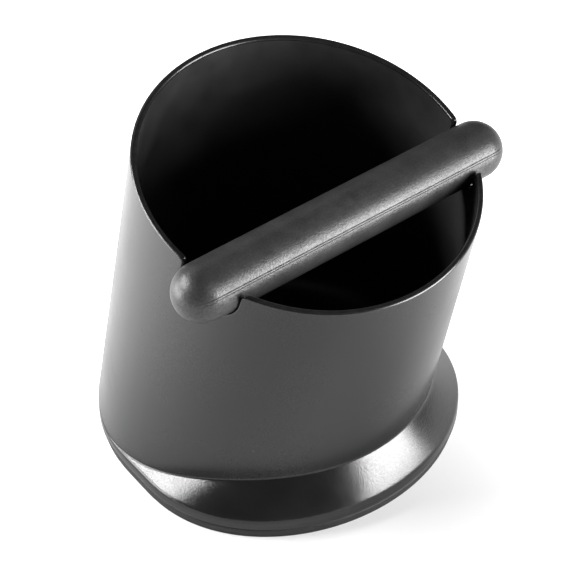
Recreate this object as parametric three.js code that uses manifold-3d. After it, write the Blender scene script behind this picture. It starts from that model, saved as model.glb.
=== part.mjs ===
// An espresso knock box: a leaning tub with a tilted rim and a flared foot, a rubber-covered bar
// that drops into two notches in the rim, and a rubber ring stretched round the foot.
// Millimetres and radians, +Z up. The low side of the rim and the flare of the foot face -Y,
// and the bar lies along X.

import * as THREE from 'three';
import { mergeVertices } from 'three/addons/utils/BufferGeometryUtils.js';
import Module from 'manifold-3d';

const wasm = await Module();
wasm.setup();

// Tub: a ruled wall between the tilted circle of the rim and a level circle on the ground, which
// swells a little at both sides
const rimRadius = 70;
const rimHeight = 146;
const rimAhead = 32;
const rimTilt = THREE.MathUtils.degToRad(15.4);
const wallFlare = 2;
const groundRadius = rimRadius + wallFlare;
const sideSwell = 2.5;
const swellTurn = THREE.MathUtils.degToRad(92);
const swellHalfSpan = THREE.MathUtils.degToRad(42);
const wallThickness = 2.6;
const floorHeight = 7;
const floorThickness = 3;
const floorFillet = 10;
const rimOuterEdge = 0.9;
const rimInnerEdge = 0.4;

// Foot: an elliptical skirt under the leaning front, flush with the wall behind
const skirtSideMargin = 3;
const skirtOverhang = 12.7;
const skirtAhead = 23;
const skirtHalfWidth = groundRadius + skirtSideMargin;
const skirtReach = groundRadius + skirtOverhang - skirtAhead;
const skirtRise = 16.1;
const skirtFadeEnd = THREE.MathUtils.degToRad(91);
const crownOutShare = 0.56;
const crownUpShare = 0.5;
const skirtThickness = 2.6;
const footMargin = 0.1;
const footBlend = 2.7;
const lipTop = 9.7;
const lipEdge = 0.8;
const rearStep = 1;
const spigotThickness = 2.4;

// Pockets under the skirt, between radial ribs
const pocketSpan = THREE.MathUtils.degToRad(66);
const pocketCount = 6;
const pocketRib = 2;
const pocketDraft = 0.2;
const pocketHeightShare = 0.55;

// Ring: soft rubber, held by a bead in a groove round the foot's spigot
const ringHeight = 5.3;
const ringWidth = 3;
const ringProud = 1;
const ringTaper = 1;
const ringEdge = 0.5;
const ringBead = 0.8;
const ringGap = 0.3;
const beadHeight = (ringHeight + ringProud) / 2;

// Bar: a round-ended rubber sleeve over a steel rod
const barRadius = 11.9;
const barAhead = 23.3;
const barDrop = 6.2;
const barOverhang = 14.4;
const rodRadius = 5;
const rodEdge = 0.8;
const rodEndCover = 15;
const rodGap = 0.3;
const locatorRadius = 1.5;
const locatorSpreadShare = 0.55;

// Notches that the bar drops into
const notchGap = 0.3;
const notchCorner = 2.5;

const cutOverrun = 5;
const columnCount = 96;
const filletSteps = 4;
const flareSteps = 5;
const pocketSteps = 4;
const notchSegments = 10;
const barSegments = 40;
const barEndSteps = 8;
const rodSegments = 24;
const fullTurn = Math.PI * 2;

const along = new THREE.Vector3(1, 0, 0);
const downSlope = new THREE.Vector3(0, -Math.cos(rimTilt), -Math.sin(rimTilt));
const outOfRim = new THREE.Vector3(0, -Math.sin(rimTilt), Math.cos(rimTilt));
const rimCentre = new THREE.Vector3(0, -rimAhead, rimHeight);

// A point in the plane of the rim, given along its slope and out of it
function rimFramePoint(slope, out) {
  return rimCentre.clone().addScaledVector(downSlope, slope).addScaledVector(outOfRim, out);
}

// A circle's point by its angle from the front, between a sideways and a forward direction
function circlePoint(centre, forward, radius, angle) {
  return centre.clone()
    .addScaledVector(along, radius * Math.sin(angle))
    .addScaledVector(forward, radius * Math.cos(angle));
}

function rimPoint(angle, inset) {
  return circlePoint(rimCentre, downSlope, rimRadius - inset, angle);
}

function groundPoint(angle, inset) {
  const forward = new THREE.Vector3(0, -1, 0);
  const offSide = Math.min(1, Math.abs(Math.acos(Math.cos(angle)) - swellTurn) / swellHalfSpan);
  const swell = sideSwell * Math.cos(offSide * Math.PI / 2) ** 2;
  return circlePoint(new THREE.Vector3(), forward, groundRadius + swell - inset, angle);
}

// The tub's wall at a height, on the straight line from the ground circle to the rim circle
function wallPoint(angle, inset, height) {
  const top = rimPoint(angle, inset);
  return groundPoint(angle, inset).lerp(top, height / top.z);
}

// The tub's wall at a depth below the rim, measured down the same straight line
function wallPointBelowRim(angle, inset, depth) {
  const top = rimPoint(angle, inset);
  const down = groundPoint(angle, inset).sub(top).normalize();
  return top.addScaledVector(down, depth);
}

// The tub's own centre line at a height
function tubCentre(height) {
  return new THREE.Vector3(0, -rimAhead * height / rimHeight, height);
}

// The foot's outline in polar form about the tub's centre: the larger of the wall's own outline
// and the skirt's ellipse, rounded over where the two cross
function footRadius(angle) {
  const circle = wallPoint(angle, 0, lipTop).distanceTo(tubCentre(lipTop)) + footMargin;
  const sideways = (Math.sin(angle) / skirtHalfWidth) ** 2;
  const forward = (Math.cos(angle) / skirtReach) ** 2;
  const offset = skirtAhead * Math.cos(angle) / skirtReach ** 2;
  const rest = 1 - (skirtAhead / skirtReach) ** 2;
  const ellipse = (offset + Math.sqrt(offset ** 2 + (sideways + forward) * rest)) / (sideways + forward);
  const excess = ellipse - circle;
  return circle + (excess + Math.sqrt(excess ** 2 + (2 * footBlend) ** 2)) / 2;
}

function footPoint(angle, inset, height) {
  const reach = footRadius(angle) - inset;
  const centreY = tubCentre(lipTop).y;
  return new THREE.Vector3(reach * Math.sin(angle), centreY - reach * Math.cos(angle), height);
}

// How much of the skirt stands out of the wall: all of it in front, none behind
function skirtShare(angle) {
  return 1 - THREE.MathUtils.smoothstep(1 - Math.cos(angle), 0, 1 - Math.cos(skirtFadeEnd));
}

// The height where the foot meets the wall: highest in front, a small step above the lip behind
function joinHeight(angle) {
  return lipTop + rearStep + (skirtRise - rearStep) * skirtShare(angle);
}

// The skirt's crowned section from the wall down to the lip, as a quadratic curve
function skirtPoint(angle, share) {
  const join = wallPoint(angle, 0, joinHeight(angle));
  const lip = footPoint(angle, lipEdge * skirtShare(angle), lipTop);
  const crown = join.clone().lerp(lip, crownOutShare);
  crown.z = lip.z + (join.z - lip.z) * crownUpShare;
  return new THREE.QuadraticBezierCurve3(join, crown, lip).getPoint(share);
}

// Rings, bands and fans of triangles that make closed surfaces
function ring(pointAt) {
  return Array.from({ length: columnCount }, (_, i) => pointAt((i / columnCount) * fullTurn));
}

function band(lower, upper) {
  return lower.flatMap((point, i) => {
    const next = (i + 1) % lower.length;
    return [point, upper[i], upper[next], point, upper[next], lower[next]];
  });
}

function fan(pole, rim) {
  return rim.flatMap((point, i) => [pole, point, rim[(i + 1) % rim.length]]);
}

function bands(rings) {
  return rings.slice(1).flatMap((upper, i) => band(rings[i], upper));
}

function geometryOf(corners) {
  const geometry = new THREE.BufferGeometry();
  const values = corners.flatMap((corner) => corner.toArray());
  geometry.setAttribute('position', new THREE.Float32BufferAttribute(values, 3));
  return mergeVertices(geometry);
}

// Solids for cutting and joining
function solidOf(geometry) {
  const bare = geometry.clone();
  bare.deleteAttribute('normal');
  bare.deleteAttribute('uv');
  const merged = mergeVertices(bare);
  return new wasm.Manifold(new wasm.Mesh({
    numProp: 3,
    vertProperties: new Float32Array(merged.attributes.position.array),
    triVerts: new Uint32Array(merged.index.array),
  }));
}

function geometryFromSolid(solid) {
  const { vertProperties, triVerts } = solid.getMesh();
  const geometry = new THREE.BufferGeometry();
  geometry.setAttribute('position', new THREE.BufferAttribute(new Float32Array(vertProperties), 3));
  geometry.setIndex(new THREE.BufferAttribute(new Uint32Array(triVerts), 1));
  return geometry;
}

function namedMesh(name, geometry, material) {
  geometry.computeVertexNormals();
  const mesh = new THREE.Mesh(geometry, material);
  mesh.name = name;
  return mesh;
}

// Materials
const satinPlastic = new THREE.MeshStandardMaterial({ color: 0x232325, roughness: 0.38, metalness: 0 });
const softRubber = new THREE.MeshStandardMaterial({ color: 0x2a2a2b, roughness: 0.8, metalness: 0 });
const barRubber = new THREE.MeshStandardMaterial({ color: 0x3a3a3b, roughness: 0.62, metalness: 0 });
const rodSteel = new THREE.MeshStandardMaterial({ color: 0xb8babd, roughness: 0.3, metalness: 1 });

// Body shell: inner floor and wall, over the rim, down the outer wall, the skirt and the lip,
// round the seat and groove of the ring, and in under the floor
function floorFilletRing(step) {
  const turn = (step / filletSteps) * Math.PI / 2;
  const inset = wallThickness + floorFillet * (1 - Math.sin(turn));
  const height = floorHeight + floorFillet * (1 - Math.cos(turn));
  return ring((angle) => wallPoint(angle, inset, height));
}

function tubRings() {
  const fillet = Array.from({ length: filletSteps + 1 }, (_, step) => floorFilletRing(step));
  const roundedShare = 1 - Math.SQRT1_2;
  const rim = [
    [wallThickness, rimInnerEdge],
    [wallThickness - rimInnerEdge, 0],
    [rimOuterEdge, 0],
    [rimOuterEdge * roundedShare, rimOuterEdge * roundedShare],
    [0, rimOuterEdge],
  ];
  return [...fillet, ...rim.map(([inset, depth]) => ring((angle) => wallPointBelowRim(angle, inset, depth)))];
}

function footRings() {
  const skirt = Array.from({ length: flareSteps + 1 }, (_, step) =>
    ring((angle) => skirtPoint(angle, step / flareSteps)));
  const spigotInset = ringWidth + ringGap;
  const beadReach = ringBead + ringGap;
  const section = [
    [0, lipTop - lipEdge],
    [0, ringHeight + ringEdge],
    [ringEdge, ringHeight],
    [spigotInset, ringHeight],
    [spigotInset, beadHeight + beadReach],
    [spigotInset + beadReach, beadHeight],
    [spigotInset, beadHeight - beadReach],
    [spigotInset, ringProud],
    [spigotInset + spigotThickness, ringProud],
    [spigotInset + spigotThickness, floorHeight - floorThickness],
  ];
  return [...skirt, ...section.map(([inset, height]) => ring((angle) => footPoint(angle, inset, height)))];
}

// One pocket between two ribs, from below the spigot up into the skirt
function pocketSection(angle) {
  const inset = ringWidth + ringGap + spigotThickness + pocketDraft;
  const bottom = ringProud - cutOverrun;
  const top = lipTop + (joinHeight(angle) - lipTop) * pocketHeightShare;
  const outerTop = footPoint(angle, 0, top);
  const wallTop = wallPoint(angle, 0, top);
  const cover = skirtPoint(angle, 1 - pocketHeightShare);
  const room = Math.hypot(cover.x - wallTop.x, cover.y - wallTop.y) - skirtThickness;
  const inwards = outerTop.clone().sub(wallTop).setZ(0).normalize();
  return [
    wallPoint(angle, 0, bottom),
    footPoint(angle, inset, bottom),
    footPoint(angle, inset, lipTop),
    wallTop.clone().addScaledVector(inwards, room),
    wallTop,
  ];
}

function pocketSolid(index) {
  const pitch = 2 * pocketSpan / pocketCount;
  const ribTurn = pocketRib / groundRadius / 2;
  const start = -pocketSpan + index * pitch + ribTurn;
  const sweep = pitch - 2 * ribTurn;
  const sections = Array.from({ length: pocketSteps + 1 }, (_, step) =>
    pocketSection(start + sweep * step / pocketSteps));
  const last = sections[pocketSteps];
  const ends = [...fan(sections[0][0], sections[0].slice(1)).slice(0, -3),
    ...fan(last[0], last.slice(1)).slice(0, -3).reverse()];
  return solidOf(geometryOf([...bands(sections), ...ends]));
}

// The slot across both walls: a round seat for the bar, open upwards, with rounded corners
function notchSolid() {
  const half = barRadius + notchGap;
  const corner = Math.min(notchCorner, barDrop);
  const quarter = Math.PI / 2;
  const outline = new THREE.Shape();
  outline.moveTo(half + corner, cutOverrun);
  outline.lineTo(-half - corner, cutOverrun);
  outline.lineTo(-half - corner, 0);
  outline.absarc(-half - corner, -corner, corner, quarter, 0, true);
  outline.absarc(0, -barDrop, half, Math.PI, fullTurn, false);
  outline.absarc(half + corner, -corner, corner, Math.PI, quarter, true);
  outline.lineTo(half + corner, cutOverrun);
  const depth = 2 * (rimRadius + cutOverrun);
  const options = { depth, bevelEnabled: false, curveSegments: notchSegments };
  const slot = new THREE.ExtrudeGeometry(outline, options);
  slot.translate(0, 0, -depth / 2);
  const across = along.clone().negate();
  slot.applyMatrix4(new THREE.Matrix4().makeBasis(downSlope, outOfRim, across));
  const seat = rimFramePoint(barAhead, 0);
  return solidOf(slot.translate(seat.x, seat.y, seat.z));
}

function bodyShell() {
  const rings = [...tubRings(), ...footRings()];
  const innerPole = tubCentre(floorHeight);
  const underPole = tubCentre(floorHeight - floorThickness);
  const corners = [
    ...fan(innerPole, rings[0]),
    ...bands(rings),
    ...fan(underPole, rings[rings.length - 1].slice().reverse()),
  ];
  let solid = solidOf(geometryOf(corners)).subtract(notchSolid());
  for (let index = 0; index < pocketCount; index += 1) {
    solid = solid.subtract(pocketSolid(index));
  }
  return namedMesh('body_shell', geometryFromSolid(solid), satinPlastic);
}

// Base ring: a closed section, narrower at the ground, carried round the foot's outline
function baseRing() {
  const section = [
    [ringWidth, 0],
    [ringWidth, beadHeight - ringBead],
    [ringWidth + ringBead, beadHeight],
    [ringWidth, beadHeight + ringBead],
    [ringWidth, ringHeight],
    [ringEdge, ringHeight],
    [0, ringHeight - ringEdge],
    [ringTaper, ringEdge],
    [ringTaper + ringEdge, 0],
  ];
  const rings = section.map(([inset, height]) => ring((angle) => footPoint(angle, inset, height)));
  return namedMesh('base_ring', geometryOf(bands([...rings, rings[0]])), softRubber);
}

// Bar: both pieces are turned about the bar's own axis, which is then laid along X
const barHalfStraight = Math.sqrt(rimRadius ** 2 - barAhead ** 2) + barOverhang - barRadius;
const rodHalfLength = barHalfStraight + barRadius - rodEndCover;

function turned(profile, segments) {
  const points = profile.map(([radius, x]) => new THREE.Vector2(radius, x));
  return new THREE.LatheGeometry(points, segments).rotateZ(-Math.PI / 2);
}

function roundEnd(side) {
  return Array.from({ length: barEndSteps + 1 }, (_, step) => {
    const turn = (step / barEndSteps) * Math.PI / 2;
    return [barRadius * Math.sin(turn), side * (barHalfStraight + barRadius * Math.cos(turn))];
  });
}

function rodProfile(gap) {
  const radius = rodRadius + gap;
  const half = rodHalfLength + gap;
  return [
    [0, -half], [radius - rodEdge, -half], [radius, rodEdge - half],
    [radius, half - rodEdge], [radius - rodEdge, half], [0, half],
  ];
}

// The small holes left by the pins that held the rod in the mould, on the bar's underside
function locatorSolid(side) {
  const hole = new THREE.CylinderGeometry(locatorRadius, locatorRadius, barRadius + cutOverrun, rodSegments);
  hole.rotateX(Math.PI / 2);
  hole.translate(side * rodHalfLength * locatorSpreadShare, 0, -(barRadius + cutOverrun) / 2);
  return solidOf(hole);
}

function placeBar(mesh) {
  mesh.position.copy(rimFramePoint(barAhead, -barDrop));
  mesh.rotation.x = rimTilt;
  return mesh;
}

function barSleeve() {
  const cover = solidOf(turned([...roundEnd(-1), ...roundEnd(1).reverse()], barSegments));
  const bore = solidOf(turned(rodProfile(rodGap), rodSegments));
  const sleeve = [-1, 1].reduce((solid, side) => solid.subtract(locatorSolid(side)), cover.subtract(bore));
  return placeBar(namedMesh('bar_sleeve', geometryFromSolid(sleeve), barRubber));
}

function barCore() {
  const rod = geometryFromSolid(solidOf(turned(rodProfile(0), rodSegments)));
  return placeBar(namedMesh('bar_core', rod, rodSteel));
}

// Assembly, centred over its own footprint
const knockBox = new THREE.Group();
knockBox.add(bodyShell(), baseRing(), barSleeve(), barCore());
knockBox.updateMatrixWorld(true);
knockBox.position.y = -new THREE.Box3().setFromObject(knockBox, true).getCenter(new THREE.Vector3()).y;

export default knockBox;
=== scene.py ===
"""An espresso knock box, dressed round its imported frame.

A leaning tub with a flared foot, moulded in satin black plastic, stands on a soft ring. A
rubber-covered bar lies in two notches of its tilted rim. Metres, +Z up: the low side of the
rim faces -Y, and the bar lies along X.
"""

import bpy
import numpy as np
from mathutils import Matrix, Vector


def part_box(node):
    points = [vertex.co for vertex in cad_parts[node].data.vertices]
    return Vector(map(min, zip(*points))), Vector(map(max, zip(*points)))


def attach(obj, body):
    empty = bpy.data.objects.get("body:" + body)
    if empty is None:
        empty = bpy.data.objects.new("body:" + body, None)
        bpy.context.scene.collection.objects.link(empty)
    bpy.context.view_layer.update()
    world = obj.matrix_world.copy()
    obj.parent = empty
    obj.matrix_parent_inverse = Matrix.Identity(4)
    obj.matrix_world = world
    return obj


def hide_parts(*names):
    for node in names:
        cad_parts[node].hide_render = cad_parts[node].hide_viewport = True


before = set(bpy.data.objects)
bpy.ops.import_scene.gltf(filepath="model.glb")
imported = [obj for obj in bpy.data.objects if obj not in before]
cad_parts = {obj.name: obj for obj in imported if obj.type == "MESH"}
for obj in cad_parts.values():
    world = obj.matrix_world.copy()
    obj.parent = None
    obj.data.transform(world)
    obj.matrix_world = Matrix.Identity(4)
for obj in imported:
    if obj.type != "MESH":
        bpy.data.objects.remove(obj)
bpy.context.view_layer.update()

# Camera: the photograph's own angle, from the left front and above, with a long lens
CAMERA_PLACE = (-0.42712, -0.53678, 0.68085)
CAMERA_AIM = (-0.00054, -0.00509, 0.07500)
CAMERA_LENS = 137.5
CAMERA_SENSOR = 36.0
CAMERA_NEAR = 0.01


def link_aimed(name, data, place, target):
    """Links a camera or lamp into the scene at a place, with its -Z turned to the target."""
    thing = bpy.data.objects.new(name, data)
    bpy.context.scene.collection.objects.link(thing)
    thing.location = place
    direction = Vector(np.subtract(target, place))
    thing.rotation_euler = direction.to_track_quat("-Z", "Y").to_euler()
    return thing


lens = bpy.data.cameras.new("photo_lens")
lens.lens = CAMERA_LENS
lens.sensor_width = CAMERA_SENSOR
lens.clip_start = CAMERA_NEAR
camera = link_aimed("photo_camera", lens, CAMERA_PLACE, CAMERA_AIM)
bpy.context.scene.camera = camera

# Tub: one moulding of satin black plastic, with its floor, tilted rim, two notches for the bar
# and flared foot. Its wall is the sheet of straight lines from the tilted circle of the rim to
# a level circle on the ground, which swells a little at both sides.

# Wall, rim and floor
RIM_RADIUS = 0.070
RIM_AHEAD = 0.032
RIM_TILT = np.radians(15.4)
GROUND_RADIUS = 0.072
SIDE_SWELL = 0.0025
SWELL_TURN = np.radians(92.0)
SWELL_HALF_SPAN = np.radians(42.0)
WALL = 0.0026
FLOOR_TOP = 0.007
FLOOR_UNDER = 0.004
FLOOR_FILLET = 0.010
RIM_OUTER_ROUND = 0.00103
RIM_INNER_ROUND = 0.0012
# Notches: the bar's place from the rim's centre, and the slot round it
BAR_AHEAD = 0.0233
BAR_DROP = 0.0062
NOTCH_HALF = 0.01204
NOTCH_CORNER = 0.0025
# Skirt and the foot's outline
SKIRT_HALF_WIDTH = 0.0750
SKIRT_REACH = 0.0617
SKIRT_AHEAD = 0.0230
SKIRT_RISE = 0.0161
SKIRT_FADE_END = np.radians(91.0)
SKIRT_CROWN_OUT = 0.56
SKIRT_CROWN_UP = 0.50
SKIRT_THICKNESS = 0.0026
FOOT_MARGIN = 0.00009
FOOT_BLEND = 0.0027
# Lip over the ring, and the fillet where the skirt meets the wall
LIP_TOP = 0.0097
LIP_CORNER = 0.0098
LIP_CORNER_BEHIND = 0.0076
LIP_FADE = np.radians([84.0, 106.0])
LIP_ROUND = 0.0012
LIP_UNDER_ROUND = 0.0004
REAR_STEP = 0.0009
JOIN_FILLET = 0.0007
# Ring and its seat on the spigot
RING_HEIGHT = 0.0053
RING_WIDTH = 0.003
RING_TAPER = 0.001
RING_ROUND = 0.0009
RING_UNDER_ROUND = 0.0004
RING_BEAD = 0.0008
RING_GAP = 0.0003
RING_PROUD = 0.001
SPIGOT = 0.0024
# Pockets between ribs under the skirt, and the level rows beside them
POCKET_SPAN = np.radians(66.0)
POCKET_COUNT = 6
POCKET_RIB = 0.002
POCKET_DRAFT = 0.0002
POCKET_HEIGHT_SHARE = 0.55
LEVEL_INSET = 0.009

bar_low, bar_high = (np.array(corner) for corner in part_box("bar_sleeve"))
bar_centre = (bar_low + bar_high) / 2
along = np.array([1.0, 0.0, 0.0])
front = np.array([0.0, -1.0, 0.0])
down_slope = np.array([0.0, -np.cos(RIM_TILT), -np.sin(RIM_TILT)])
out_of_rim = np.array([0.0, -np.sin(RIM_TILT), np.cos(RIM_TILT)])
rim_centre = bar_centre - BAR_AHEAD * down_slope + BAR_DROP * out_of_rim
ground_centre = np.array([0.0, rim_centre[1] + RIM_AHEAD, 0.0])


def wall_ends(angle, inset):
    """The rim circle's and the ground circle's points at an angle from the front. The ground
    circle swells by cos^2 of the turn from each side, stretched to its half span."""
    off_side = np.abs(np.arccos(np.cos(angle)) - SWELL_TURN) / SWELL_HALF_SPAN
    swell = SIDE_SWELL * np.cos(np.minimum(off_side, 1) * np.pi / 2)[:, None] ** 2
    sideways = np.sin(angle)[:, None]
    forward = np.cos(angle)[:, None]
    top = rim_centre + (RIM_RADIUS - inset) * (sideways * along + forward * down_slope)
    foot = ground_centre + (GROUND_RADIUS + swell - inset) * (sideways * along + forward * front)
    return top, foot


def wall_below_rim(angle, inset, depth):
    """The rim's point, moved straight towards the ground's point by a depth."""
    top, foot = wall_ends(angle, inset)
    down = (foot - top) / np.linalg.norm(foot - top, axis=1, keepdims=True)
    return top + down * np.broadcast_to(depth, angle.shape)[:, None]


def wall_at_height(angle, inset, height):
    """The point of the line from the ground's point to the rim's point at a height."""
    top, foot = wall_ends(angle, inset)
    share = (np.broadcast_to(height, angle.shape) / top[:, 2])[:, None]
    return foot + (top - foot) * share


def depth_at_height(angle, inset, height):
    """How far below the rim, along the wall's line, a height lies."""
    top, foot = wall_ends(angle, inset)
    return (1 - height / top[:, 2]) * np.linalg.norm(foot - top, axis=1)


def foot_point(angle, inset, height):
    """Polar outline: the larger of the wall's own outline c and the skirt's ellipse e, rounded
    over as c + ((e - c) + sqrt((e - c)^2 + (2 blend)^2)) / 2, less an inset."""
    centre = ground_centre - np.array([0, RIM_AHEAD, 0]) * LIP_TOP / rim_centre[2]
    wall_there = wall_at_height(angle, 0, LIP_TOP) - centre
    circle = np.hypot(wall_there[:, 0], wall_there[:, 1]) + FOOT_MARGIN
    spread = (np.sin(angle) / SKIRT_HALF_WIDTH) ** 2 + (np.cos(angle) / SKIRT_REACH) ** 2
    offset = SKIRT_AHEAD * np.cos(angle) / SKIRT_REACH ** 2
    rest = 1 - (SKIRT_AHEAD / SKIRT_REACH) ** 2
    excess = (offset + np.sqrt(offset ** 2 + spread * rest)) / spread - circle
    reach = circle + (excess + np.sqrt(excess ** 2 + (2 * FOOT_BLEND) ** 2)) / 2 - inset
    height = np.broadcast_to(height, angle.shape)
    return np.stack([reach * np.sin(angle), centre[1] - reach * np.cos(angle), height], axis=1)


def smooth_step(value, start, end):
    """3 t^2 - 2 t^3, with t running from 0 at the start to 1 at the end."""
    share = np.clip((value - start) / (end - start), 0, 1)
    return share * share * (3 - 2 * share)


def lip_height(angle):
    """The lip's corner: level in front, and stepping down to the ring behind the sides."""
    behind = smooth_step(np.arccos(np.cos(angle)), *LIP_FADE)
    return LIP_CORNER + (LIP_CORNER_BEHIND - LIP_CORNER) * behind


def join_height(angle):
    """The skirt's top edge: lip + step + rise x (1 - smooth step of 1 - cos a)."""
    share = 1 - smooth_step(1 - np.cos(angle), 0, 1 - np.cos(SKIRT_FADE_END))
    return lip_height(angle) + REAR_STEP + (SKIRT_RISE - REAR_STEP) * share


def skirt_point(angle, share):
    """Quadratic curve from the wall (share 0) over a low crown to the lip's corner (1)."""
    join = wall_at_height(angle, 0, join_height(angle))
    corner = foot_point(angle, 0, lip_height(angle))
    crown = join + (corner - join) * SKIRT_CROWN_OUT
    crown[:, 2] = corner[:, 2] + (join[:, 2] - corner[:, 2]) * SKIRT_CROWN_UP
    return (1 - share) ** 2 * join + 2 * share * (1 - share) * crown + share ** 2 * corner


def round_over(start, corner, end, steps):
    """Rows of a circular arc between two rows, tangent to the lines through their corner."""
    bend = np.sqrt(0.5)
    rows = []
    for share in np.linspace(0, 1, steps + 1):
        a, b, c = (1 - share) ** 2, 2 * bend * share * (1 - share), share ** 2
        rows.append((a * start + b * corner + c * end) / (a + b + c))
    return rows


# The notch's outline in the rim's plane, from its front corner to its rear one: place along
# the slope, height out of the rim, and the direction into the material.
CORNER_STEPS = 9
SIDE_STEPS = 6
SEAT_STEPS = 46


def arc_run(centre_slope, centre_out, radius, turns, inward):
    """Points on an arc, with normals that point to its centre (inward -1) or away (1)."""
    way = np.stack([np.cos(turns), np.sin(turns)], axis=1)
    return np.array([centre_slope, centre_out]) + radius * way, inward * way


def side_run(slope, outs, inward):
    """Points on a straight side of the slot, at one place along the slope."""
    place = np.stack([np.full_like(outs, slope), outs], axis=1)
    return place, np.tile([inward, 0.0], (len(outs), 1))


front_mouth = BAR_AHEAD + NOTCH_HALF + NOTCH_CORNER
rear_mouth = BAR_AHEAD - NOTCH_HALF - NOTCH_CORNER
quarter = np.pi / 2
side_outs = np.linspace(-NOTCH_CORNER, -BAR_DROP, SIDE_STEPS + 1)[1:-1]
notch_runs = [
    arc_run(front_mouth, -NOTCH_CORNER, NOTCH_CORNER,
            np.linspace(quarter, np.pi, CORNER_STEPS + 1)[1:], -1),
    side_run(BAR_AHEAD + NOTCH_HALF, side_outs, 1.0),
    arc_run(BAR_AHEAD, -BAR_DROP, NOTCH_HALF, np.linspace(0, -np.pi, SEAT_STEPS + 1), 1),
    side_run(BAR_AHEAD - NOTCH_HALF, side_outs[::-1], -1.0),
    arc_run(rear_mouth, -NOTCH_CORNER, NOTCH_CORNER,
            np.linspace(0, quarter, CORNER_STEPS + 1)[:-1], -1),
]
notch_place = np.concatenate([place for place, _ in notch_runs])
notch_normal = np.concatenate([normal for _, normal in notch_runs])
NOTCH_TRIES = 8


def notch_line(inset, offset):
    """Angles and depths of the wall's points at the notch's outline, set back by an offset.
    Each step corrects both by the error along the slope and out of the rim."""
    radius = RIM_RADIUS - inset
    target = notch_place + offset * notch_normal
    angle = np.arccos(target[:, 0] / radius)
    depth = -target[:, 1]
    for _ in range(NOTCH_TRIES):
        place = wall_below_rim(angle, inset, depth) - rim_centre
        angle = angle + (place @ down_slope - target[:, 0]) / (radius * np.sin(angle))
        depth = depth + (place @ out_of_rim - target[:, 1])
    return angle, depth


FRONT_COLUMNS = 161
REAR_COLUMNS = 200


def edge_line(inset, offset):
    """Angles and depths of the whole edge in column order: front of the rim, right notch,
    rear of the rim, left notch."""
    radius = RIM_RADIUS - inset
    front_end = np.arccos(front_mouth / radius)
    rear_end = np.arccos(rear_mouth / radius)
    fore = np.linspace(-front_end, front_end, FRONT_COLUMNS)
    rear = np.linspace(rear_end, 2 * np.pi - rear_end, REAR_COLUMNS)
    notch_angle, notch_depth = notch_line(inset, offset)
    angle = np.concatenate([fore, notch_angle, rear, 2 * np.pi - notch_angle[::-1]])
    depth = np.concatenate([np.full(FRONT_COLUMNS, offset), notch_depth,
                            np.full(REAR_COLUMNS, offset), notch_depth[::-1]])
    return angle, depth


def edge_row(inset, offset):
    """The edge's points themselves."""
    angle, depth = edge_line(inset, offset)
    return wall_below_rim(angle, inset, depth)


# Columns below the notches stand evenly, with a pair of them at each face of each rib
PAIR_HALF_GAP = np.radians(0.02)
rim_angles = edge_line(0, 0)[0]
fore_end = rim_angles[FRONT_COLUMNS - 1]
back_end = rim_angles[FRONT_COLUMNS + len(notch_place)]
notch_spread = np.linspace(fore_end, back_end, len(notch_place) + 2)[1:-1]
columns = np.concatenate([
    rim_angles[:FRONT_COLUMNS], notch_spread,
    rim_angles[FRONT_COLUMNS + len(notch_place):-len(notch_place)],
    2 * np.pi - notch_spread[::-1],
])
pocket_pitch = 2 * POCKET_SPAN / POCKET_COUNT
rib_turn = POCKET_RIB / GROUND_RADIUS / 2
pocket_starts = -POCKET_SPAN + pocket_pitch * np.arange(POCKET_COUNT) + rib_turn
pocket_ends = pocket_starts + pocket_pitch - 2 * rib_turn
signed = (columns + np.pi) % (2 * np.pi) - np.pi
for face in np.concatenate([pocket_starts, pocket_ends]):
    order = np.argsort(np.abs(signed - face))[:2]
    lower, upper = sorted(order, key=lambda column: signed[column])
    turns = columns[[lower, upper]] - signed[[lower, upper]]
    signed[[lower, upper]] = face - PAIR_HALF_GAP, face + PAIR_HALF_GAP
    columns[[lower, upper]] = signed[[lower, upper]] + turns

SPREAD_DEPTH = 0.045
NEAR_OFFSETS = np.array([0.0017, 0.0013])
SPREAD_STEPS = 14
SPREAD_POWER = 0.8
SPREAD_SHARES = np.linspace(0, 1, SPREAD_STEPS + 1)[1:] ** SPREAD_POWER


def spread_rows(inset):
    """Rows from the even columns up to the set-back edge, mixed in angle and depth."""
    edge_angle, edge_depth = edge_line(inset, NEAR_OFFSETS[0])
    rows = []
    for share in SPREAD_SHARES:
        angle = columns + (edge_angle - columns) * share
        depth = SPREAD_DEPTH + (edge_depth - SPREAD_DEPTH) * share
        rows.append(wall_below_rim(angle, inset, depth))
    return rows + [edge_row(inset, offset) for offset in NEAR_OFFSETS[1:]]


# Inside: the floor from its middle out, its fillet and the wall up to the edge
FLOOR_SHARES = (0.15, 0.4, 0.65, 0.85, 0.97)
FILLET_STEPS = 9
WALL_STEPS = 21
floor_edge = wall_at_height(columns, WALL + FLOOR_FILLET, FLOOR_TOP)
floor_middle = ground_centre - np.array([0, RIM_AHEAD, 0]) * FLOOR_TOP / rim_centre[2]
floor_middle = floor_middle + np.array([0, 0, FLOOR_TOP])
floor_rows = [floor_middle + share * (floor_edge - floor_middle) for share in FLOOR_SHARES]
for turn in np.linspace(0, quarter, FILLET_STEPS + 1):
    floor_rows.append(wall_at_height(columns, WALL + FLOOR_FILLET * (1 - np.sin(turn)),
                                     FLOOR_TOP + FLOOR_FILLET * (1 - np.cos(turn))))
inner_bottom = depth_at_height(columns, WALL, FLOOR_TOP + FLOOR_FILLET)
inner_rows = [wall_below_rim(columns, WALL, inner_bottom + (SPREAD_DEPTH - inner_bottom) * share)
              for share in np.linspace(0, 1, WALL_STEPS + 1)[1:]]
inner_rows += spread_rows(WALL)

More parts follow.
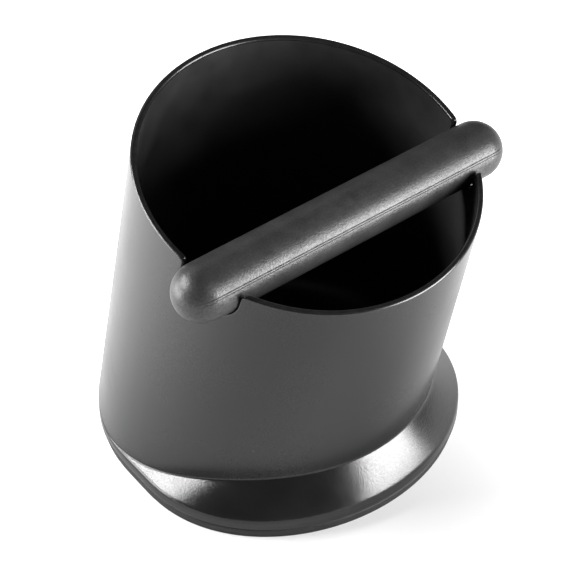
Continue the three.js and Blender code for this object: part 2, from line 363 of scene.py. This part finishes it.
# Edge of the rim and of both notches, rounded inside and out
RIM_INNER_STEPS = 6
RIM_FLAT_STEPS = 4
RIM_OUTER_STEPS = 9
flat_insets = np.linspace(WALL - RIM_INNER_ROUND, RIM_OUTER_ROUND, RIM_FLAT_STEPS + 1)[1:-1]
rim_rows = round_over(edge_row(WALL, RIM_INNER_ROUND), edge_row(WALL, 0),
                      edge_row(WALL - RIM_INNER_ROUND, 0), RIM_INNER_STEPS)
rim_rows += [edge_row(inset, 0) for inset in flat_insets]
rim_rows += round_over(edge_row(RIM_OUTER_ROUND, 0), edge_row(0, 0),
                       edge_row(0, RIM_OUTER_ROUND), RIM_OUTER_STEPS)

# Outside: the wall down to the skirt, the skirt with a fillet at its top and a round over
# its lip, and the lip's face down to the ring
FILLET_SHARE_MOST = 0.35
LIP_SHARE_MOST = 0.45
JOIN_STEPS = 5
SKIRT_STEPS = 14
LIP_STEPS = 6
LIP_FACE_SHARES = (0.33, 0.67)
LIP_UNDER_STEPS = 4
skirt_length = np.linalg.norm(skirt_point(columns, 1.0) - skirt_point(columns, 0.0), axis=1)
fillet_share = np.minimum(FILLET_SHARE_MOST, JOIN_FILLET / skirt_length)[:, None]
lip_share = 1 - np.minimum(LIP_SHARE_MOST, LIP_ROUND / skirt_length)[:, None]
lip_top = lip_height(columns)
lip_foot = RING_HEIGHT + LIP_UNDER_ROUND
lip_end = lip_top - np.minimum(LIP_ROUND, (lip_top - lip_foot) / 2)
join_top = join_height(columns)
outer_bottom = depth_at_height(columns, 0, join_top + JOIN_FILLET)
outer_rows = spread_rows(0)[::-1]
outer_rows += [wall_below_rim(columns, 0, SPREAD_DEPTH + (outer_bottom - SPREAD_DEPTH) * share)
               for share in np.linspace(0, 1, WALL_STEPS + 1)[1:-1]]
skirt_rows = round_over(wall_at_height(columns, 0, join_top + JOIN_FILLET),
                        wall_at_height(columns, 0, join_top),
                        skirt_point(columns, fillet_share), JOIN_STEPS)
skirt_rows += [skirt_point(columns, fillet_share + (lip_share - fillet_share) * share)
               for share in np.linspace(0, 1, SKIRT_STEPS + 1)[1:-1]]
skirt_rows += round_over(skirt_point(columns, lip_share), skirt_point(columns, 1.0),
                         foot_point(columns, 0, lip_end), LIP_STEPS)
skirt_rows += [foot_point(columns, 0, lip_end + (lip_foot - lip_end) * share)
               for share in LIP_FACE_SHARES]
skirt_rows += round_over(foot_point(columns, 0, lip_foot), foot_point(columns, 0, RING_HEIGHT),
                         foot_point(columns, LIP_UNDER_ROUND, RING_HEIGHT), LIP_UNDER_STEPS)

# Seat of the ring: in under the lip, down the spigot past the groove for the ring's bead, and
# up inside it to the underside of the floor
spigot_inset = RING_WIDTH + RING_GAP
bead_height = (RING_HEIGHT + RING_PROUD) / 2
bead_reach = RING_BEAD + RING_GAP
seat_section = [
    (spigot_inset, RING_HEIGHT), (spigot_inset, bead_height + bead_reach),
    (spigot_inset + bead_reach, bead_height), (spigot_inset, bead_height - bead_reach),
    (spigot_inset, RING_PROUD), (spigot_inset + SPIGOT, RING_PROUD),
    (spigot_inset + SPIGOT, FLOOR_UNDER),
]
under_rows = [foot_point(columns, inset, height) for inset, height in seat_section]

# Pockets under the skirt: where a column stands in one, its rows rise into it. On the ribs
# the same rows lie level, and behind the pockets level rows run in from the spigot.
LEVEL_SHARES = (0.1, 0.4, 0.7, 1.0)
UNDER_SHARES = (0.98, 0.9, 0.7, 0.45, 0.2)
in_pocket = ((signed[:, None] > pocket_starts) & (signed[:, None] < pocket_ends)).any(axis=1)
in_span = np.abs(signed) < POCKET_SPAN
pocket_inset = spigot_inset + SPIGOT + POCKET_DRAFT
pocket_top = LIP_TOP + (join_top - LIP_TOP) * POCKET_HEIGHT_SHARE
roof_inner = wall_at_height(columns, 0, pocket_top)
roof_outer = foot_point(columns, 0, 0)
cover = skirt_point(columns, 1 - POCKET_HEIGHT_SHARE)
room = np.linalg.norm((cover - roof_inner)[:, :2], axis=1) - SKIRT_THICKNESS
outward = roof_outer - roof_inner
outward[:, 2] = 0
outward /= np.linalg.norm(outward, axis=1, keepdims=True)
roof_outer = roof_inner + outward * room[:, None]
pocket_rows = [foot_point(columns, pocket_inset, LIP_TOP), roof_outer, roof_inner,
               wall_at_height(columns, 0, FLOOR_UNDER)]
level_outer = foot_point(columns, pocket_inset, FLOOR_UNDER)
level_inner = wall_at_height(columns, LEVEL_INSET, FLOOR_UNDER)
level_rows = [level_outer + (level_inner - level_outer) * share for share in LEVEL_SHARES]
under_rows.append(level_outer)
for raised, level in zip(pocket_rows, level_rows):
    rib = raised.copy()
    rib[:, 2] = FLOOR_UNDER
    spanned = np.where(in_pocket[:, None], raised, rib)
    under_rows.append(np.where(in_span[:, None], spanned, level))
under_middle = ground_centre - np.array([0, RIM_AHEAD, 0]) * FLOOR_UNDER / rim_centre[2]
under_middle = under_middle + np.array([0, 0, FLOOR_UNDER])
under_edge = under_rows[-1]
under_rows += [under_middle + share * (under_edge - under_middle) for share in UNDER_SHARES]


def loop_quads(row_count, column_count, rows_close):
    """Four-cornered faces between neighbouring rows of points whose columns close round."""
    row = np.arange(row_count if rows_close else row_count - 1)[:, None]
    column = np.arange(column_count)[None, :]
    after = (column + 1) % column_count
    below = (row + 1) % row_count
    corners = [row * column_count + column, row * column_count + after,
               below * column_count + after, below * column_count + column]
    return np.stack(corners, axis=-1).reshape(-1, 4)


def pole_triangles(pole, first, column_count, last):
    """A fan of triangles from a pole to the row that starts at a point number."""
    column = np.arange(column_count)
    after = (column + 1) % column_count
    pole_column = np.full(column_count, pole)
    if last:
        return np.stack([first + column, first + after, pole_column], axis=1)
    return np.stack([first + after, first + column, pole_column], axis=1)


SHARP_ANGLE = np.radians(38)
RIM_RUBBED = 0.7
LIP_RUBBED = 0.5


def make_piece(name, points, quads, triangles, rubbed, body, node):
    """Makes a closed mesh with its faces outwards, smooth but for its sharp edges, with how
    far each point is rubbed by use, hangs it on the empty of the body it rides on and hides
    the imported node it stands for."""
    halves = np.concatenate([quads[:, [0, 1, 2]], quads[:, [0, 2, 3]], triangles])
    a, b, c = (points[halves[:, corner]] for corner in range(3))
    if np.einsum("ij,ij->", a, np.cross(b, c)) < 0:
        quads = quads[:, ::-1]
        triangles = triangles[:, ::-1]
    mesh = bpy.data.meshes.new(name)
    mesh.from_pydata(points, [], quads.tolist() + triangles.tolist())
    mesh.shade_smooth()
    mesh.set_sharp_from_angle(angle=SHARP_ANGLE)
    mesh.attributes.new("rubbed", "FLOAT", "POINT").data.foreach_set("value", rubbed)
    piece = bpy.data.objects.new(name, mesh)
    bpy.context.scene.collection.objects.link(piece)
    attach(piece, body)
    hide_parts(node)
    return piece


tub_rows = floor_rows + inner_rows + rim_rows + outer_rows + skirt_rows + under_rows
tub_grid = np.stack(tub_rows)
row_count, column_count = tub_grid.shape[:2]
tub_points = np.concatenate([tub_grid.reshape(-1, 3), [floor_middle, under_middle]])
point_count = row_count * column_count
tub_quads = loop_quads(row_count, column_count, False)
tub_poles = np.concatenate([
    pole_triangles(point_count, 0, column_count, False),
    pole_triangles(point_count + 1, point_count - column_count, column_count, True),
])
skirt_start = len(floor_rows + inner_rows + rim_rows + outer_rows)
row_rubbed = np.zeros(row_count)
row_rubbed[len(floor_rows + inner_rows):len(floor_rows + inner_rows + rim_rows)] = RIM_RUBBED
lip_start = skirt_start + JOIN_STEPS + SKIRT_STEPS
row_rubbed[lip_start:lip_start + LIP_STEPS + 1] = LIP_RUBBED
tub_rubbed = np.append(np.repeat(row_rubbed, column_count), [0, 0])
tub = make_piece("tub_moulding", tub_points, tub_quads, tub_poles, tub_rubbed,
                 "tub", "body_shell")

# Finish of the moulding: satin black plastic on the wall, a coarser spark-eroded grain on the
# foot, and inside a lighter copy of the plastic, painted light in the tub's shade
NOISE_LOW, NOISE_HIGH = 0.3, 0.7
NOISE_ROUGHNESS = 0.6
WORN_PATCH = 0.003
WORN_SPAN = (0.42, 0.62, 0.1, 1.0)
GRAIN_ROUGHNESS = 0.02
RUBBED_SMOOTHER = 0.05
SHINE_LOW, SHINE_HIGH = 0.35, 0.65
WAVE_SIZE = 0.012
DUST_CELL = 0.0085
DUST_RADIUS_SHARE = 0.022
DUST_KEPT_SHARE = 0.10
DUST_COLOUR = (0.32, 0.32, 0.31)


def grained_finish(name, colours, worn, roughness, shine, speckle, cloud_size, grain_size,
                   grain_depth, unevenness, dust):
    """A moulded surface: two colours mixed by a slow cloud, a worn one in patches where it is
    rubbed, roughness by the same clouds and the grain, shine speckled by the grain, bump from
    fine grain over slight unevenness, and a few light specks of dust. Sizes and depths are in
    metres, roughness runs from its first value to its second, and dust scales the specks."""
    material = bpy.data.materials.new(name)
    material.use_nodes = True
    nodes, links = material.node_tree.nodes, material.node_tree.links
    shader = nodes["Principled BSDF"]
    place = nodes.new("ShaderNodeTexCoord").outputs["Object"]

    def cloud(size, detail):
        noise = nodes.new("ShaderNodeTexNoise")
        noise.inputs["Scale"].default_value = 1 / size
        noise.inputs["Detail"].default_value = detail
        noise.inputs["Roughness"].default_value = NOISE_ROUGHNESS
        links.new(place, noise.inputs["Vector"])
        return noise.outputs["Fac"]

    def span(value, low, high, to_low, to_high):
        ranged = nodes.new("ShaderNodeMapRange")
        for socket, number in zip(ranged.inputs[1:5], (low, high, to_low, to_high)):
            socket.default_value = number
        links.new(value, ranged.inputs["Value"])
        return ranged.outputs["Result"]

    def mix(share, first, second):
        mixer = nodes.new("ShaderNodeMix")
        mixer.data_type = "RGBA"
        links.new(share, mixer.inputs["Factor"])
        for socket, colour in zip(("A", "B"), (first, second)):
            target = [s for s in mixer.inputs if s.name == socket and s.type == "RGBA"][0]
            if isinstance(colour, tuple):
                target.default_value = (*colour, 1)
            else:
                links.new(colour, target)
        return [s for s in mixer.outputs if s.type == "RGBA"][0]

    def joined(kind, first, second):
        sum_node = nodes.new("ShaderNodeMath")
        sum_node.operation = kind
        for socket, value in zip(sum_node.inputs, (first, second)):
            if isinstance(value, float):
                socket.default_value = value
            else:
                links.new(value, socket)
        return sum_node.outputs[0]

    slow = cloud(cloud_size, 3.0)
    grain = cloud(grain_size, 2.0)
    colour = mix(span(slow, NOISE_LOW, NOISE_HIGH, 0.0, 1.0), *colours)
    use = nodes.new("ShaderNodeAttribute")
    use.attribute_name = "rubbed"
    patches = span(cloud(WORN_PATCH, 3.0), *WORN_SPAN)
    rubbed = joined("MULTIPLY", use.outputs["Fac"], patches)
    colour = mix(rubbed, colour, worn)

    specks = nodes.new("ShaderNodeTexVoronoi")
    specks.inputs["Scale"].default_value = 1 / DUST_CELL
    links.new(place, specks.inputs["Vector"])
    parts = nodes.new("ShaderNodeSeparateColor")
    links.new(specks.outputs["Color"], parts.inputs["Color"])
    kept = joined("LESS_THAN", parts.outputs[0], DUST_KEPT_SHARE * dust)
    near = joined("LESS_THAN", specks.outputs["Distance"], DUST_RADIUS_SHARE)
    colour = mix(joined("MULTIPLY", kept, near), colour, DUST_COLOUR)
    links.new(colour, shader.inputs["Base Color"])

    rough = joined("ADD", span(slow, NOISE_LOW, NOISE_HIGH, *roughness),
                   span(grain, NOISE_LOW, NOISE_HIGH, -GRAIN_ROUGHNESS, GRAIN_ROUGHNESS))
    rough = joined("SUBTRACT", rough, joined("MULTIPLY", rubbed, RUBBED_SMOOTHER))
    links.new(rough, shader.inputs["Roughness"])
    speckled = span(grain, SHINE_LOW, SHINE_HIGH, shine * (1 - speckle), shine * (1 + speckle))
    links.new(speckled, shader.inputs["Specular IOR Level"])

    wavy = nodes.new("ShaderNodeBump")
    wavy.inputs["Distance"].default_value = unevenness
    links.new(cloud(WAVE_SIZE, 1.0), wavy.inputs["Height"])
    fine = nodes.new("ShaderNodeBump")
    fine.inputs["Distance"].default_value = grain_depth
    links.new(grain, fine.inputs["Height"])
    links.new(wavy.outputs["Normal"], fine.inputs["Normal"])
    links.new(fine.outputs["Normal"], shader.inputs["Normal"])
    return material


WORN_PLASTIC = (0.016, 0.016, 0.0163)
wall_finish = grained_finish(
    "satin_black_plastic", colours=((0.0070, 0.0070, 0.0073), (0.0094, 0.0094, 0.0097)),
    worn=WORN_PLASTIC, roughness=(0.22, 0.28), shine=0.5, speckle=0.03, cloud_size=0.035,
    grain_size=0.0006, grain_depth=0.000006, unevenness=0.000008, dust=0.5)
foot_finish = grained_finish(
    "spark_eroded_black_plastic", colours=((0.0066, 0.0066, 0.0069), (0.0090, 0.0090, 0.0093)),
    worn=WORN_PLASTIC, roughness=(0.19, 0.25), shine=0.5, speckle=0.12, cloud_size=0.020,
    grain_size=0.0007, grain_depth=0.000060, unevenness=0.000008, dust=0.5)
# Inside: the same black plastic made about three times lighter, as painted light in the shade of
# the tub
inner_finish = grained_finish(
    "black_plastic_painted_light_inside", colours=((0.022, 0.022, 0.0225), (0.034, 0.033, 0.033)),
    worn=WORN_PLASTIC, roughness=(0.30, 0.42), shine=0.5, speckle=0.05, cloud_size=0.018,
    grain_size=0.0006, grain_depth=0.000010, unevenness=0.000008, dust=0.5)
for finish in (wall_finish, foot_finish, inner_finish):
    tub.data.materials.append(finish)
WALL_SLOT, FOOT_SLOT, INNER_SLOT = 0, 1, 2
quad_rows = np.repeat(np.arange(row_count - 1), column_count)
in_foot = (quad_rows >= skirt_start) & (quad_rows < skirt_start + len(skirt_rows))
inside = quad_rows < len(floor_rows + inner_rows)
quad_slots = np.where(inside, INNER_SLOT, np.where(in_foot, FOOT_SLOT, WALL_SLOT))
pole_slots = np.repeat([INNER_SLOT, WALL_SLOT], column_count)
tub.data.polygons.foreach_set("material_index", np.append(quad_slots, pole_slots).astype(np.int32))

# Foot ring: soft black rubber, stretched round the foot's spigot and held there by a bead in
# a groove. One section is carried round the foot's outline.
RING_COLUMNS = 540
RING_ROUND_STEPS = 7
RING_UNDER_STEPS = 5
RING_FACE_STEPS = 5


def rounded_corner(start, corner, end, steps):
    """Section points of the round over a corner of the ring."""
    ends = (np.array([point]) for point in (start, corner, end))
    return [tuple(row[0]) for row in round_over(*ends, steps)]


ring_section = [
    (RING_WIDTH, 0), (RING_WIDTH, bead_height - RING_BEAD), (RING_WIDTH + RING_BEAD, bead_height),
    (RING_WIDTH, bead_height + RING_BEAD), (RING_WIDTH, RING_HEIGHT),
    (RING_WIDTH / 2, RING_HEIGHT),
    *rounded_corner((RING_ROUND, RING_HEIGHT), (0, RING_HEIGHT), (0, RING_HEIGHT - RING_ROUND),
                    RING_ROUND_STEPS),
    *zip(np.linspace(0, RING_TAPER, RING_FACE_STEPS + 1)[1:-1],
         np.linspace(RING_HEIGHT - RING_ROUND, RING_UNDER_ROUND, RING_FACE_STEPS + 1)[1:-1]),
    *rounded_corner((RING_TAPER, RING_UNDER_ROUND), (RING_TAPER, 0),
                    (RING_TAPER + RING_UNDER_ROUND, 0), RING_UNDER_STEPS),
    (RING_WIDTH - RING_TAPER / 2, 0),
]
ring_angles = np.linspace(0, 2 * np.pi, RING_COLUMNS, endpoint=False)
ring_grid = np.stack([foot_point(ring_angles, inset, height) for inset, height in ring_section])
face_rubbed = [max(0, 1 - inset / RING_TAPER) for inset, _ in ring_section]
foot_ring = make_piece("foot_ring", ring_grid.reshape(-1, 3),
                       loop_quads(len(ring_section), RING_COLUMNS, True),
                       np.zeros((0, 3), int), np.repeat(face_rubbed, RING_COLUMNS),
                       "tub", "base_ring")
foot_ring.data.materials.append(grained_finish(
    "soft_black_rubber", colours=((0.010, 0.010, 0.0103), (0.014, 0.014, 0.0144)),
    worn=(0.018, 0.018, 0.0183), roughness=(0.58, 0.68), shine=0.35, speckle=0.15,
    cloud_size=0.020, grain_size=0.0005, grain_depth=0.00002, unevenness=0.00001, dust=0.5))

# Bar cover: dark grey rubber moulded round the steel rod, a plain tube with round ends. The
# mould's parting line runs along it, and two pin holes are left on its underside.
BAR_RADIUS = 0.0119
SEAM_TURN = np.radians(36.0)
SEAM_HEIGHT = 0.00010
SEAM_HALF_WIDTH = 0.00042
SEAM_GROOVE = 0.00009
SEAM_GROOVE_PLACE = 0.00062
SEAM_GROOVE_WIDTH = 0.00013
SEAM_STEP = 0.00005
SEAM_FADE = (0.7, 1.0)
PIN_HOLE_RADIUS = 0.0015
PIN_HOLE_PLACE = 0.03597
PIN_HOLE_DEPTH = 0.0062
PIN_HOLE_EDGE = 0.00015
KNOCK_HALF_LENGTH = 0.035
KNOCK_TURN = 0.5
bar_half = (bar_high[0] - bar_low[0]) / 2
straight_half = bar_half - BAR_RADIUS

# Turns round the bar stand evenly, and closer at the parting line and at the pin holes
EVEN_TURNS = 180
SEAM_NEAR = 0.11
SEAM_TURNS = 41
HOLE_NEAR = 0.17
HOLE_TURNS = 35
TURN_CLEAR = 0.012
near_seam = np.linspace(-SEAM_NEAR, SEAM_NEAR, SEAM_TURNS) + SEAM_TURN
near_holes = np.linspace(-HOLE_NEAR, HOLE_NEAR, HOLE_TURNS) - quarter
busy = np.concatenate([near_seam, near_seam - np.pi, near_holes])
around = np.linspace(-np.pi, np.pi, EVEN_TURNS + 1)[:-1]
clear = np.abs((around[:, None] - busy + np.pi) % (2 * np.pi) - np.pi).min(axis=1) > TURN_CLEAR
around = np.sort(np.concatenate([around[clear], (busy + np.pi) % (2 * np.pi) - np.pi]))

# Places along it stand evenly too, closer at the pin holes, and by even turns over its ends
EVEN_PLACES = 71
HOLE_RUN_HALF = 0.002
HOLE_PLACES = 35
PLACE_CLEAR = 0.0003
CAP_STEPS = 45
hole_run = np.linspace(-HOLE_RUN_HALF, HOLE_RUN_HALF, HOLE_PLACES)
hole_runs = np.concatenate([hole_run - PIN_HOLE_PLACE, hole_run + PIN_HOLE_PLACE])
even_run = np.linspace(-straight_half, straight_half, EVEN_PLACES)
even_run = even_run[np.abs(even_run[:, None] - hole_runs).min(axis=1) > PLACE_CLEAR]
straight_run = np.sort(np.concatenate([even_run, hole_runs]))
cap_turns = np.linspace(0, quarter, CAP_STEPS + 1)[1:-1]
cap_out = straight_half + BAR_RADIUS * np.cos(cap_turns)
cap_girth = BAR_RADIUS * np.sin(cap_turns)
bar_places = np.concatenate([-cap_out, straight_run, cap_out[::-1]])
bar_girths = np.concatenate([cap_girth, np.full(len(straight_run), BAR_RADIUS), cap_girth[::-1]])


def bar_point(place, girth, turn):
    """A round-ended tube pushed out along its own normal: a flat-topped ridge between two
    fine grooves, and a small step, all by the distance from the parting plane and fading to
    the tips, less the pin holes, which sink near their centres."""
    across = girth * np.cos(turn)
    up = girth * np.sin(turn)
    beyond = np.clip(place, -straight_half, straight_half)
    seam = girth * np.sin(turn - SEAM_TURN)
    ridge = SEAM_HEIGHT * np.exp(-(seam / SEAM_HALF_WIDTH) ** 4)
    groove = SEAM_GROOVE * np.exp(-((np.abs(seam) - SEAM_GROOVE_PLACE) / SEAM_GROOVE_WIDTH) ** 2)
    step = SEAM_STEP * np.tanh(seam / SEAM_HALF_WIDTH) / 2
    swell = (ridge - groove + step) * smooth_step(girth / BAR_RADIUS, *SEAM_FADE)
    hole_gap = np.hypot(np.abs(place) - PIN_HOLE_PLACE, across)
    sunk = 0.5 - 0.5 * np.tanh((hole_gap - PIN_HOLE_RADIUS) / (PIN_HOLE_EDGE / 2))
    swell = swell - PIN_HOLE_DEPTH * sunk * (up < 0)
    size = 1 + swell / BAR_RADIUS
    local = np.stack([beyond + (place - beyond) * size, across * size, up * size], axis=-1)
    return bar_centre + local @ np.stack([along, down_slope, out_of_rim])


bar_grid = bar_point(bar_places[:, None], bar_girths[:, None], around[None, :])
bar_rows, bar_columns = bar_grid.shape[:2]
bar_tips = bar_centre + np.array([[-bar_half, 0, 0], [bar_half, 0, 0]])
bar_count = bar_rows * bar_columns
knocked_along = np.exp(-(bar_places / KNOCK_HALF_LENGTH) ** 2)
knocked_round = np.clip(np.sin(around + KNOCK_TURN), 0, 1)
knocked = np.outer(knocked_along, knocked_round)
bar_cover = make_piece(
    "bar_cover", np.concatenate([bar_grid.reshape(-1, 3), bar_tips]),
    loop_quads(bar_rows, bar_columns, False),
    np.concatenate([pole_triangles(bar_count, 0, bar_columns, False),
                    pole_triangles(bar_count + 1, bar_count - bar_columns, bar_columns, True)]),
    np.append(knocked.ravel(), [0, 0]), "knock_bar", "bar_sleeve")
bar_cover.data.materials.append(grained_finish(
    "dark_grey_bar_rubber", colours=((0.027, 0.027, 0.0277), (0.041, 0.041, 0.0418)),
    worn=(0.046, 0.046, 0.0465), roughness=(0.34, 0.44), shine=0.45, speckle=0.35,
    cloud_size=0.009, grain_size=0.0008, grain_depth=0.00009, unevenness=0.00003, dust=2.0))

# Rod: the drawn steel bar inside the cover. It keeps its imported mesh, with lines of drawing
# along it.
ROD_COLOUR = (0.60, 0.60, 0.61, 1)
ROD_LINE_SCALE = (20, 2500, 2500)
ROD_ROUGHNESS = (0.22, 0.38)
ROD_LINE_DEPTH = 0.00001
rod_steel = bpy.data.materials.new("drawn_steel")
rod_steel.use_nodes = True
rod_nodes, rod_links = rod_steel.node_tree.nodes, rod_steel.node_tree.links
rod_shader = rod_nodes["Principled BSDF"]
rod_shader.inputs["Base Color"].default_value = ROD_COLOUR
rod_shader.inputs["Metallic"].default_value = 1.0
rod_place = rod_nodes.new("ShaderNodeTexCoord")
rod_stretch = rod_nodes.new("ShaderNodeMapping")
rod_stretch.inputs["Scale"].default_value = ROD_LINE_SCALE
rod_lines = rod_nodes.new("ShaderNodeTexNoise")
rod_rough = rod_nodes.new("ShaderNodeMapRange")
rod_rough.inputs["To Min"].default_value, rod_rough.inputs["To Max"].default_value = ROD_ROUGHNESS
rod_bump = rod_nodes.new("ShaderNodeBump")
rod_bump.inputs["Distance"].default_value = ROD_LINE_DEPTH
rod_links.new(rod_place.outputs["Object"], rod_stretch.inputs["Vector"])
rod_links.new(rod_stretch.outputs["Vector"], rod_lines.inputs["Vector"])
rod_links.new(rod_lines.outputs["Fac"], rod_rough.inputs["Value"])
rod_links.new(rod_rough.outputs["Result"], rod_shader.inputs["Roughness"])
rod_links.new(rod_lines.outputs["Fac"], rod_bump.inputs["Height"])
rod_links.new(rod_bump.outputs["Normal"], rod_shader.inputs["Normal"])
for rod_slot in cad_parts["bar_core"].material_slots:
    rod_slot.material = rod_steel

# Studio: a white table with low soft boxes at the right front and the left rear, a higher
# box over each of them, a faint one high at the back, and dark surroundings
TABLE_HALF = 3.0
TABLE_GREY = 0.66
# Painted shade: the table's glow is low round this spot at the front left of the box
PAINTED_SHADE_CENTRE = (-0.055, -0.085, 0)
GLOW_START = 0.05
GLOW_END = 0.23
GLOW_FAR = 0.90
GLOW_LIFT = 0.30
BOX_TARGET = (0, 0, 0.06)
DARK_GREY = (0.08, 0.08, 0.08, 1)

# The table glows for camera, mirror and glass rays, more the farther it is from the front
# left of the box, and a little more for the camera, so that it is white all over. Round the
# front left the glow is held low as painted shade, which the wall mirrors as a dark band.
# Lamp light falls on its plain grey, which keeps the shadow.
table_mesh = bpy.data.meshes.new("white_table")
table_mesh.from_pydata([(-TABLE_HALF, -TABLE_HALF, 0), (TABLE_HALF, -TABLE_HALF, 0),
                        (TABLE_HALF, TABLE_HALF, 0), (-TABLE_HALF, TABLE_HALF, 0)],
                       [], [(0, 1, 2, 3)])
table = bpy.data.objects.new("white_table", table_mesh)
bpy.context.scene.collection.objects.link(table)

table_white = bpy.data.materials.new("white_table_top")
table_white.use_nodes = True
nodes, links = table_white.node_tree.nodes, table_white.node_tree.links
nodes.clear()
output = nodes.new("ShaderNodeOutputMaterial")
lit = nodes.new("ShaderNodeBsdfDiffuse")
lit.inputs["Color"].default_value = (TABLE_GREY, TABLE_GREY, TABLE_GREY, 1)
glow = nodes.new("ShaderNodeEmission")
both = nodes.new("ShaderNodeAddShader")
place = nodes.new("ShaderNodeTexCoord")
distance = nodes.new("ShaderNodeVectorMath")
distance.operation = "DISTANCE"
distance.inputs[1].default_value = PAINTED_SHADE_CENTRE
painted_shade_fade = nodes.new("ShaderNodeMapRange")
painted_shade_fade.interpolation_type = "SMOOTHSTEP"
for socket, number in zip(painted_shade_fade.inputs[1:5], (GLOW_START, GLOW_END, 0.0, GLOW_FAR)):
    socket.default_value = number
ray = nodes.new("ShaderNodeLightPath")
seen = nodes.new("ShaderNodeMath")
seen.operation = "MAXIMUM"
seen_too = nodes.new("ShaderNodeMath")
seen_too.operation = "MAXIMUM"
strength = nodes.new("ShaderNodeMath")
strength.operation = "MULTIPLY"
lift = nodes.new("ShaderNodeMath")
lift.operation = "MULTIPLY_ADD"
lift.inputs[1].default_value = GLOW_LIFT
links.new(place.outputs["Object"], distance.inputs[0])
links.new(distance.outputs["Value"], painted_shade_fade.inputs["Value"])
links.new(ray.outputs["Is Camera Ray"], seen.inputs[0])
links.new(ray.outputs["Is Glossy Ray"], seen.inputs[1])
links.new(seen.outputs[0], seen_too.inputs[0])
links.new(ray.outputs["Is Transmission Ray"], seen_too.inputs[1])
links.new(seen_too.outputs[0], strength.inputs[0])
links.new(painted_shade_fade.outputs["Result"], strength.inputs[1])
links.new(ray.outputs["Is Camera Ray"], lift.inputs[0])
links.new(strength.outputs[0], lift.inputs[2])
links.new(lift.outputs[0], glow.inputs["Strength"])
links.new(lit.outputs[0], both.inputs[0])
links.new(glow.outputs[0], both.inputs[1])
links.new(both.outputs[0], output.inputs["Surface"])
table_mesh.materials.append(table_white)


def soft_box(name, azimuth, distance, height, size, level):
    """A soft box turned to the object, at an azimuth in degrees from the front towards +X.
    Its level is its radiance: an area lamp's power is level x pi x area."""
    turn = np.radians(azimuth)
    spot = (distance * np.sin(turn), -distance * np.cos(turn), height)
    lamp = bpy.data.lights.new(name, "AREA")
    lamp.shape = "RECTANGLE"
    lamp.size, lamp.size_y = size
    lamp.energy = level * np.pi * size[0] * size[1]
    shown = link_aimed(name, lamp, spot, BOX_TARGET)
    shown.visible_camera = False


soft_box("right_low_box", azimuth=31, distance=0.72, height=0.13, size=(0.43, 0.26), level=26)
soft_box("right_high_box", azimuth=31, distance=0.72, height=0.36, size=(0.46, 0.20), level=11)
soft_box("left_low_box", azimuth=-128, distance=0.72, height=0.13, size=(0.60, 0.26), level=12)
soft_box("left_high_box", azimuth=-131, distance=0.72, height=0.55, size=(0.55, 0.16), level=36)
soft_box("back_box", azimuth=164, distance=0.90, height=0.98, size=(0.55, 0.55), level=1)

world = bpy.data.worlds.new("studio")
bpy.context.scene.world = world
world.use_nodes = True
nodes, links = world.node_tree.nodes, world.node_tree.links
nodes.clear()
output = nodes.new("ShaderNodeOutputWorld")
dark = nodes.new("ShaderNodeBackground")
dark.inputs["Color"].default_value = DARK_GREY
white = nodes.new("ShaderNodeBackground")
white.inputs["Color"].default_value = (1, 1, 1, 1)
ray = nodes.new("ShaderNodeLightPath")
blend = nodes.new("ShaderNodeMixShader")
links.new(ray.outputs["Is Camera Ray"], blend.inputs["Fac"])
links.new(dark.outputs[0], blend.inputs[1])
links.new(white.outputs[0], blend.inputs[2])
links.new(blend.outputs[0], output.inputs["Surface"])

bpy.context.scene.view_settings.view_transform = "Standard"
